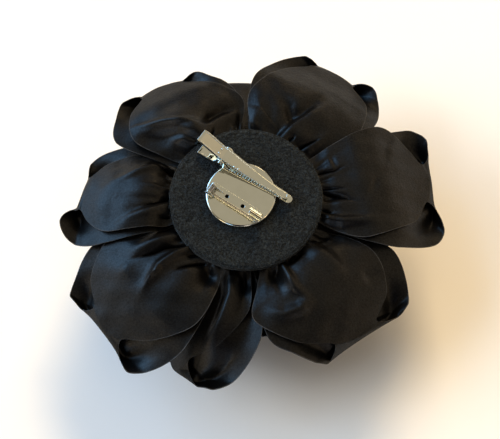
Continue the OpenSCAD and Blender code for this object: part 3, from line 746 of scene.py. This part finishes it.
def add_petals(petals, rise, root, thin, grid):
    """The petals of one whorl. Root is where they start, and thin how far apart their lobes are there."""
    for petal in petals:
        shape = Shape(petal, rise, root, thin, seed=int(petal.angle) + len(petal.name))
        rows = shape.rows(grid.along, grid.across)
        piece = cloth_piece(petal.name.replace("petal", "petal_cloth"), rows)
        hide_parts(petal.name)
        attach(piece, "base")


BUD_ROWS = 260
BUD_COLUMNS = 36
# How far down the strip its first and last inner columns and its lower edge are, from 0 to 1
BUD_RIM = (0.03, 0.975, 0.99)
BUD_FLARE = [(0, 0.8), (0.55, 1), (0.85, 1.14), (1, 1.36)]  # how the roll widens towards its lower edge
BUD_TURNS = 3
BUD_IN = 1.6  # radius where the roll starts
BUD_OUT = 11.5
BUD_UNDER_FELT = 0.3
BUD_LOW = 1.0
BUD_STEP_UP = 4.0  # how much higher the outer turn ends than the inner one
# Height and pace of the lower edge's waves, sideways and up
BUD_SWAY = (0.5, 4.3)
BUD_WAVE = (0.6, 3.1)


def add_bud():
    """The rolled middle: one strip of satin wound round itself, with a wavy edge."""
    flare = through(BUD_FLARE)
    k = np.linspace(0, 1, BUD_ROWS)[:, None]
    down = np.array([0.0, *np.linspace(BUD_RIM[0], BUD_RIM[1], BUD_COLUMNS), BUD_RIM[2]])[None, :]
    turn = 2 * math.pi * BUD_TURNS * k
    sway = BUD_SWAY[0] * np.sin(turn * BUD_SWAY[1]) * smooth((down - 0.5) * 2)
    wide = mix(BUD_IN, BUD_OUT, k) * mix(1, flare(down), k) + sway
    top = MIDDLE[2] - FELT_T - BUD_UNDER_FELT
    low = BUD_LOW + BUD_STEP_UP * k + BUD_WAVE[0] * (1 + np.sin(turn * BUD_WAVE[1]))
    high = mix(top, low, down)
    rows = np.stack([MIDDLE[0] + wide * np.cos(turn), MIDDLE[1] + wide * np.sin(turn), high], axis=-1)
    piece = cloth_piece("flower_bud_cloth", rows)
    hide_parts("flower_bud")
    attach(piece, "base")


# Felt

FELT_LUMPS = [(2.6, 0.10), (1.3, 0.09), (0.7, 0.09)]  # cell and height of each layer of unevenness
LUMP_SEED = 40
LUMP_FROM = 1.1  # the lumps' cells start this many radii from the middle
LUMP_WIDE = 2.4  # and cover this many
FELT_RINGS, FELT_AROUND = ((80, 320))
FELT_CORE = 0.012  # where the rings start, from 0 at the middle to 1 at the edge
FELT_CLOSER = 0.8  # below 1 the rings lie closer together near the edge
FELT_CUT = 0.995  # the cut edge's radius as a share of the disc's
# Height as a share of the radius, number and phase in radians of the edge's waves
FELT_WAVES = [(0.003, 5, 1), (0.002, 13, 0), (0.0012, 41, 0)]
FELT_ROUND = 0.35  # how much the upper edge is rounded
FELT_ROUND_AT = (0.97, 0.03)  # from which share of the radius, and over how much of it
FELT_SIDE = (-0.25, 0.1, 8)  # where the cut edge starts, how far above the underside it ends, and its rings
FELT_SIDE_WAVE = (0.12, 9)  # height and pace of the cut edge's wave over the felt's thickness
FELT_UNDER = (0.99, 12)  # share of the radius where the underside starts, and its rings
FELT_UNDER_IN = 0.3  # how far it stays inside the cut edge besides


def lattice(x, y, seed, cell):
    """Smooth chance heights from -1 to 1 with a value at each corner of square cells."""
    rng = np.random.default_rng(seed)
    size = int(LUMP_WIDE * FELT_R / cell) + 3
    values = rng.uniform(-1, 1, (size, size))
    gx, gy = (x + LUMP_FROM * FELT_R) / cell, (y + LUMP_FROM * FELT_R) / cell
    i, j = np.floor(gx).astype(int), np.floor(gy).astype(int)
    fx, fy = smooth(gx - i), smooth(gy - j)
    near = mix(values[i, j], values[i + 1, j], fx)
    far = mix(values[i, j + 1], values[i + 1, j + 1], fx)
    return mix(near, far, fy)


def felt_surface(x, y):
    """Height of the felt's face beside its flat level."""
    total = np.zeros(np.shape(x))
    for number, (cell, high) in enumerate(FELT_LUMPS):
        total = total + high * lattice(x, y, LUMP_SEED + number, cell)
    return total


def felt_rings(radius, angle, height):
    """Rings of points round the felt's middle, one ring a row."""
    return np.stack([radius * np.cos(angle), radius * np.sin(angle), height + 0 * radius], axis=-1)


def add_felt():
    """The felt disc: a round cut of thick felt with an uneven, fibrous face and a soft cut edge."""
    edge = FELT_R * FELT_CUT
    angle = np.linspace(0, 2 * math.pi, FELT_AROUND, endpoint=False)[None, :]
    uneven = 1
    for high, number, phase in FELT_WAVES:
        uneven = uneven + high * np.sin(angle * number + phase)
    share = np.linspace(FELT_CORE, 1, FELT_RINGS)[:, None] ** FELT_CLOSER
    radius = share * (edge - FELT_ROUND) * uneven
    face = felt_surface(radius * np.cos(angle), radius * np.sin(angle))
    top = felt_rings(radius, angle, face - FELT_ROUND * eased(share, *FELT_ROUND_AT))
    levels = np.linspace(FELT_SIDE[0], -FELT_T + FELT_SIDE[1], FELT_SIDE[2])[:, None]
    side_r = (edge + FELT_SIDE_WAVE[0] * np.sin(levels * FELT_SIDE_WAVE[1])) * uneven
    side = felt_rings(side_r, angle, levels)
    under_r = np.linspace(FELT_UNDER[0], FELT_CORE, FELT_UNDER[1])[:, None] * (edge - FELT_UNDER_IN) * uneven
    under = felt_rings(under_r, angle, -FELT_T)
    rows = np.concatenate([top, side, under])
    m, n = rows.shape[:2]
    i, j = np.meshgrid(np.arange(m - 1), np.arange(n), indexing="ij")
    after = (j + 1) % n
    here, below = i * n, (i + 1) * n
    faces = np.stack([here + j, below + j, below + after, here + after], axis=-1).reshape(-1, 4).tolist()
    faces.append(list(range(n)))
    faces.append(list(range(m * n - 1, (m - 1) * n - 1, -1)))
    piece = make_mesh("felt_backing", rows.reshape(-1, 3) + MIDDLE, faces, [FELT])
    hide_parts("felt_disc")
    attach(piece, "base")


FIBRE_SEED = 7
FIBRE_COUNT = 4000
FIBRE_AT_EDGE = FIBRE_COUNT // 8  # how many of them start beside the cut edge
FIBRE_EDGE_FROM = 0.975  # share of the radius from which on they do
FIBRE_POINTS = 5  # points along a fibre
FIBRE_SIDES = 3
FIBRE_BEND = 0.9  # spread of how far a fibre turns on each side of its middle, in radians
FIBRE_LENGTH = (0.6, 2.2)
FIBRE_LIFT = 0.22  # how far the middle of a fibre stands up at most
FIBRE_CLEAR = 0.02  # how far its ends lie over the felt
FIBRE_R = (0.018, 0.034)
FIBRE_PAST = 0.35  # how far a fibre may stand out from the felt's edge
FIBRE_DROOP = 0.9  # how far it hangs down there
FIBRE_DROOP_AT = (0.3, 0.6)  # how far inside the edge that starts, and over which length


def add_fibres():
    """Short loose fibres that lie on the felt's face and stand out from its edge."""
    rng = np.random.default_rng(FIBRE_SEED)
    radius = FELT_R * np.sqrt(rng.uniform(0, 1, FIBRE_COUNT))
    radius[:FIBRE_AT_EDGE] = FELT_R * rng.uniform(FIBRE_EDGE_FROM, 1.0, FIBRE_AT_EDGE)
    angle = rng.uniform(0, 2 * math.pi, FIBRE_COUNT)
    heading = rng.uniform(0, 2 * math.pi, FIBRE_COUNT)
    bend = rng.normal(0, FIBRE_BEND, FIBRE_COUNT)
    length = rng.uniform(*FIBRE_LENGTH, FIBRE_COUNT)
    lift = rng.uniform(0.0, FIBRE_LIFT, FIBRE_COUNT)
    thick = rng.uniform(*FIBRE_R, FIBRE_COUNT)[:, None, None]
    t = np.linspace(0, 1, FIBRE_POINTS)[None, :]
    turn = heading[:, None] + bend[:, None] * (t - 0.5) * 2
    step = length[:, None] / (FIBRE_POINTS - 1)
    x = radius[:, None] * np.cos(angle)[:, None] + np.cumsum(np.cos(turn) * step, axis=1)
    y = radius[:, None] * np.sin(angle)[:, None] + np.cumsum(np.sin(turn) * step, axis=1)
    inside = np.minimum(1, (FELT_R + FIBRE_PAST) / np.hypot(x, y))
    x, y = x * inside, y * inside
    z = felt_surface(x, y) + lift[:, None] * np.sin(math.pi * t) + FIBRE_CLEAR
    z = z - FIBRE_DROOP * past_felt(np.hypot(x, y), *FIBRE_DROOP_AT)
    path = np.stack([x, y, z], axis=-1)
    ahead = np.gradient(path, axis=1)
    ahead /= np.linalg.norm(ahead, axis=-1, keepdims=True)
    aside = np.cross(ahead, [0.0, 0.0, 1.0])
    aside /= np.maximum(np.linalg.norm(aside, axis=-1, keepdims=True), TINY)
    above = np.cross(aside, ahead)
    corners = []
    for k in range(FIBRE_SIDES):
        around = 2 * math.pi * k / FIBRE_SIDES + math.pi / 2
        corners.append(path + thick * (math.cos(around) * aside + math.sin(around) * above))
    points = np.stack(corners, axis=2).reshape(-1, 3)
    numbers = np.arange(FIBRE_COUNT * FIBRE_POINTS).reshape(FIBRE_COUNT, FIBRE_POINTS)
    a = numbers[:, :-1, None] * FIBRE_SIDES
    b = a + FIBRE_SIDES
    k = np.arange(FIBRE_SIDES)[None, None, :]
    after = (k + 1) % FIBRE_SIDES
    faces = np.stack([a + k, a + after, b + after, b + k], axis=-1).reshape(-1, 4)
    first = numbers[:, :1] * FIBRE_SIDES
    last = numbers[:, -1:] * FIBRE_SIDES
    caps = np.concatenate([first + np.array([2, 1, 0]), last + np.array([0, 1, 2])])
    piece = make_mesh("felt_fibres", points + MIDDLE, faces.tolist() + caps.tolist(), [FIBRE])
    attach(piece, "base")


# Metal

EDGE_WIDTH = 0.18
EDGE_SEGMENTS = 2
EDGE_ANGLE = 35  # edges that bend more than this are rounded


def finish_metal():
    """Rounds the metal's edges a little, and gives the stem a darker metal as painted shade and the rest its
    nickel.
    """
    for name in METAL_NODES:
        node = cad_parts[name]
        node.data.materials.clear()
        node.data.materials.append(SHADED_STEM_METAL if name == "pin_stem" else NICKEL)
        bevel = node.modifiers.new("edges", "BEVEL")
        bevel.width = EDGE_WIDTH * MM
        bevel.segments = EDGE_SEGMENTS
        bevel.limit_method = "ANGLE"
        bevel.angle_limit = math.radians(EDGE_ANGLE)


# Surroundings

FLOOR_HALF_M = 4.0
LIGHT_TARGET_M = (0, 0, 0.03)  # where both lights point


def add_floor():
    mesh = bpy.data.meshes.new("floor")
    corners = [(x * FLOOR_HALF_M, y * FLOOR_HALF_M, 0) for x, y in ((-1, -1), (1, -1), (1, 1), (-1, 1))]
    mesh.from_pydata(corners, [], [(0, 1, 2, 3)])
    mesh.materials.append(floor_material())
    floor = bpy.data.objects.new("floor", mesh)
    bpy.context.scene.collection.objects.link(floor)


def add_camera():
    """Looks along +Y and down, with the felt's middle where the photograph has it."""
    tilt = math.radians(VIEW_ELEVATION)
    up = np.array([0, math.sin(tilt), math.cos(tilt)])
    back = np.array([0, -math.cos(tilt), math.sin(tilt)])
    right_px = IMAGE_W / 2 - FELT_PX[0]
    down_px = IMAGE_H / 2 - FELT_PX[1]
    target = MIDDLE + np.array([right_px * MM_PER_PX, 0, 0]) - up * down_px * MM_PER_PX
    data = bpy.data.cameras.new("camera")
    data.sensor_width = SENSOR_W
    data.lens = SENSOR_W * VIEW_DISTANCE / (IMAGE_W * MM_PER_PX)
    data.clip_start = CLIP_START_M
    camera = bpy.data.objects.new("camera", data)
    camera.location = (target + back * VIEW_DISTANCE) * MM
    camera.rotation_euler = (math.radians(90 - VIEW_ELEVATION), 0, 0)
    bpy.context.scene.collection.objects.link(camera)
    bpy.context.scene.camera = camera


def add_area_light(name, place_m, size_m, power, colour):
    """A soft light that shines on the flower and doesn't show in reflections."""
    data = bpy.data.lights.new(name, "AREA")
    data.shape = "RECTANGLE"
    data.size, data.size_y = size_m
    data.energy = power
    data.color = colour
    light = bpy.data.objects.new(name, data)
    light.location = place_m
    away = np.array(place_m, dtype=float) - np.array(LIGHT_TARGET_M, dtype=float)
    away /= np.linalg.norm(away)
    light.rotation_euler = (math.acos(away[2]), 0, math.atan2(away[1], away[0]) + math.pi / 2)
    light.visible_glossy = False
    bpy.context.scene.collection.objects.link(light)


def direction_share(nodes, links, direction, middle, width):
    """Share from 0 to 1 of how near a direction is to a middle direction; width is where it has faded."""
    length = math.sqrt(sum(c * c for c in middle))
    dot = nodes.new("ShaderNodeVectorMath")
    dot.operation = "DOT_PRODUCT"
    dot.inputs[1].default_value = [c / length for c in middle]
    links.new(direction, dot.inputs[0])
    fade = nodes.new("ShaderNodeMapRange")
    fade.interpolation_type = "SMOOTHSTEP"
    fade.inputs["From Min"].default_value = math.cos(math.radians(width))
    fade.inputs["From Max"].default_value = 1.0
    links.new(dot.outputs["Value"], fade.inputs["Value"])
    return fade.outputs["Result"]


ROOM = (0.36, 0.31, 0.23)  # light of the room where no zone adds to it

# Soft zones of the room round the flower: the direction of each, how wide it is, and the light that it adds.
# Where that is negative the room is darker.
Zone = namedtuple("Zone", "middle width colour")
ZONES = [
    Zone((-0.77, 0.48, 0.42), 33, (1.3, 2.7, 4.5)),
    Zone((-0.47, 0.70, 0.53), 26, (-0.20, -0.08, 0.10)),
    Zone((-0.45, -0.80, 0.30), 13, (0.9, 1.6, 2.5)),
    Zone((-0.45, -0.50, 0.74), 44, (-0.28, -0.25, -0.19)),
    Zone((-0.95, 0.00, 0.30), 15, (1.2, 1.2, 1.2)),
    Zone((0.85, 0.25, 0.50), 50, (0.10, 0.05, 0.01)),
    Zone((0.70, 0.60, 0.30), 12, (0.9, 0.7, 0.5)),
    Zone((0.10, 0.95, 0.10), 45, (-0.22, -0.19, -0.13)),
    Zone((0.25, -0.85, 0.50), 50, (-0.28, -0.24, -0.16)),
    Zone((0.25, -0.95, 0.25), 12, (1.8, 1.5, 1.3)),
    Zone((-0.65, -0.64, 0.32), 12, (3.2, 2.4, 1.4)),
    Zone((0.29, 0.86, 0.37), 10, (3.8, 2.8, 1.6)),
    Zone((0.84, -0.45, 0.26), 8, (2.6, 1.7, 0.9)),
    Zone((0.90, 0.38, 0.05), 9, (2.4, 1.6, 0.9)),
]


def add_light():
    """Cool window light from the left, warm light from behind on the right, and a brown room above."""
    world = bpy.data.worlds.new("surroundings")
    bpy.context.scene.world = world
    world.use_nodes = True
    nodes, links = world.node_tree.nodes, world.node_tree.links
    shade = nodes["Background"]
    place = nodes.new("ShaderNodeTexCoord")
    total = None
    for zone in ZONES:
        share = direction_share(nodes, links, place.outputs["Generated"], zone.middle, zone.width)
        add = nodes.new("ShaderNodeVectorMath")
        add.operation = "MULTIPLY_ADD"
        links.new(share, add.inputs[0])
        add.inputs[1].default_value = zone.colour
        if total is None:
            add.inputs[2].default_value = ROOM
        else:
            links.new(total, add.inputs[2])
        total = add.outputs["Vector"]
    links.new(total, shade.inputs["Color"])
    shade.inputs["Strength"].default_value = 1.0
    add_area_light("window", (-2.9, -0.10, 1.35), (1.7, 1.5), power=98.0, colour=(0.90, 0.96, 1.0))
    add_area_light("room", (0.55, 2.9, 1.35), (1.3, 1.0), power=182.0, colour=(1.0, 0.73, 0.40))
    bpy.context.scene.view_settings.view_transform = "Standard"


add_camera()
add_light()
add_floor()
add_petals(BACK, BACK_RISE, root=22.0, thin=1.2, grid=BACK_GRID)
add_petals(MIDDLE_WHORL, MIDDLE_RISE, root=17.5, thin=1.6, grid=FRONT_GRID)
add_petals(INNER, INNER_RISE, root=12.6, thin=1.6, grid=FRONT_GRID)
add_petals(HEART, HEART_RISE, root=12.6, thin=1.6, grid=FRONT_GRID)
add_bud()
add_felt()
add_fibres()
finish_metal()
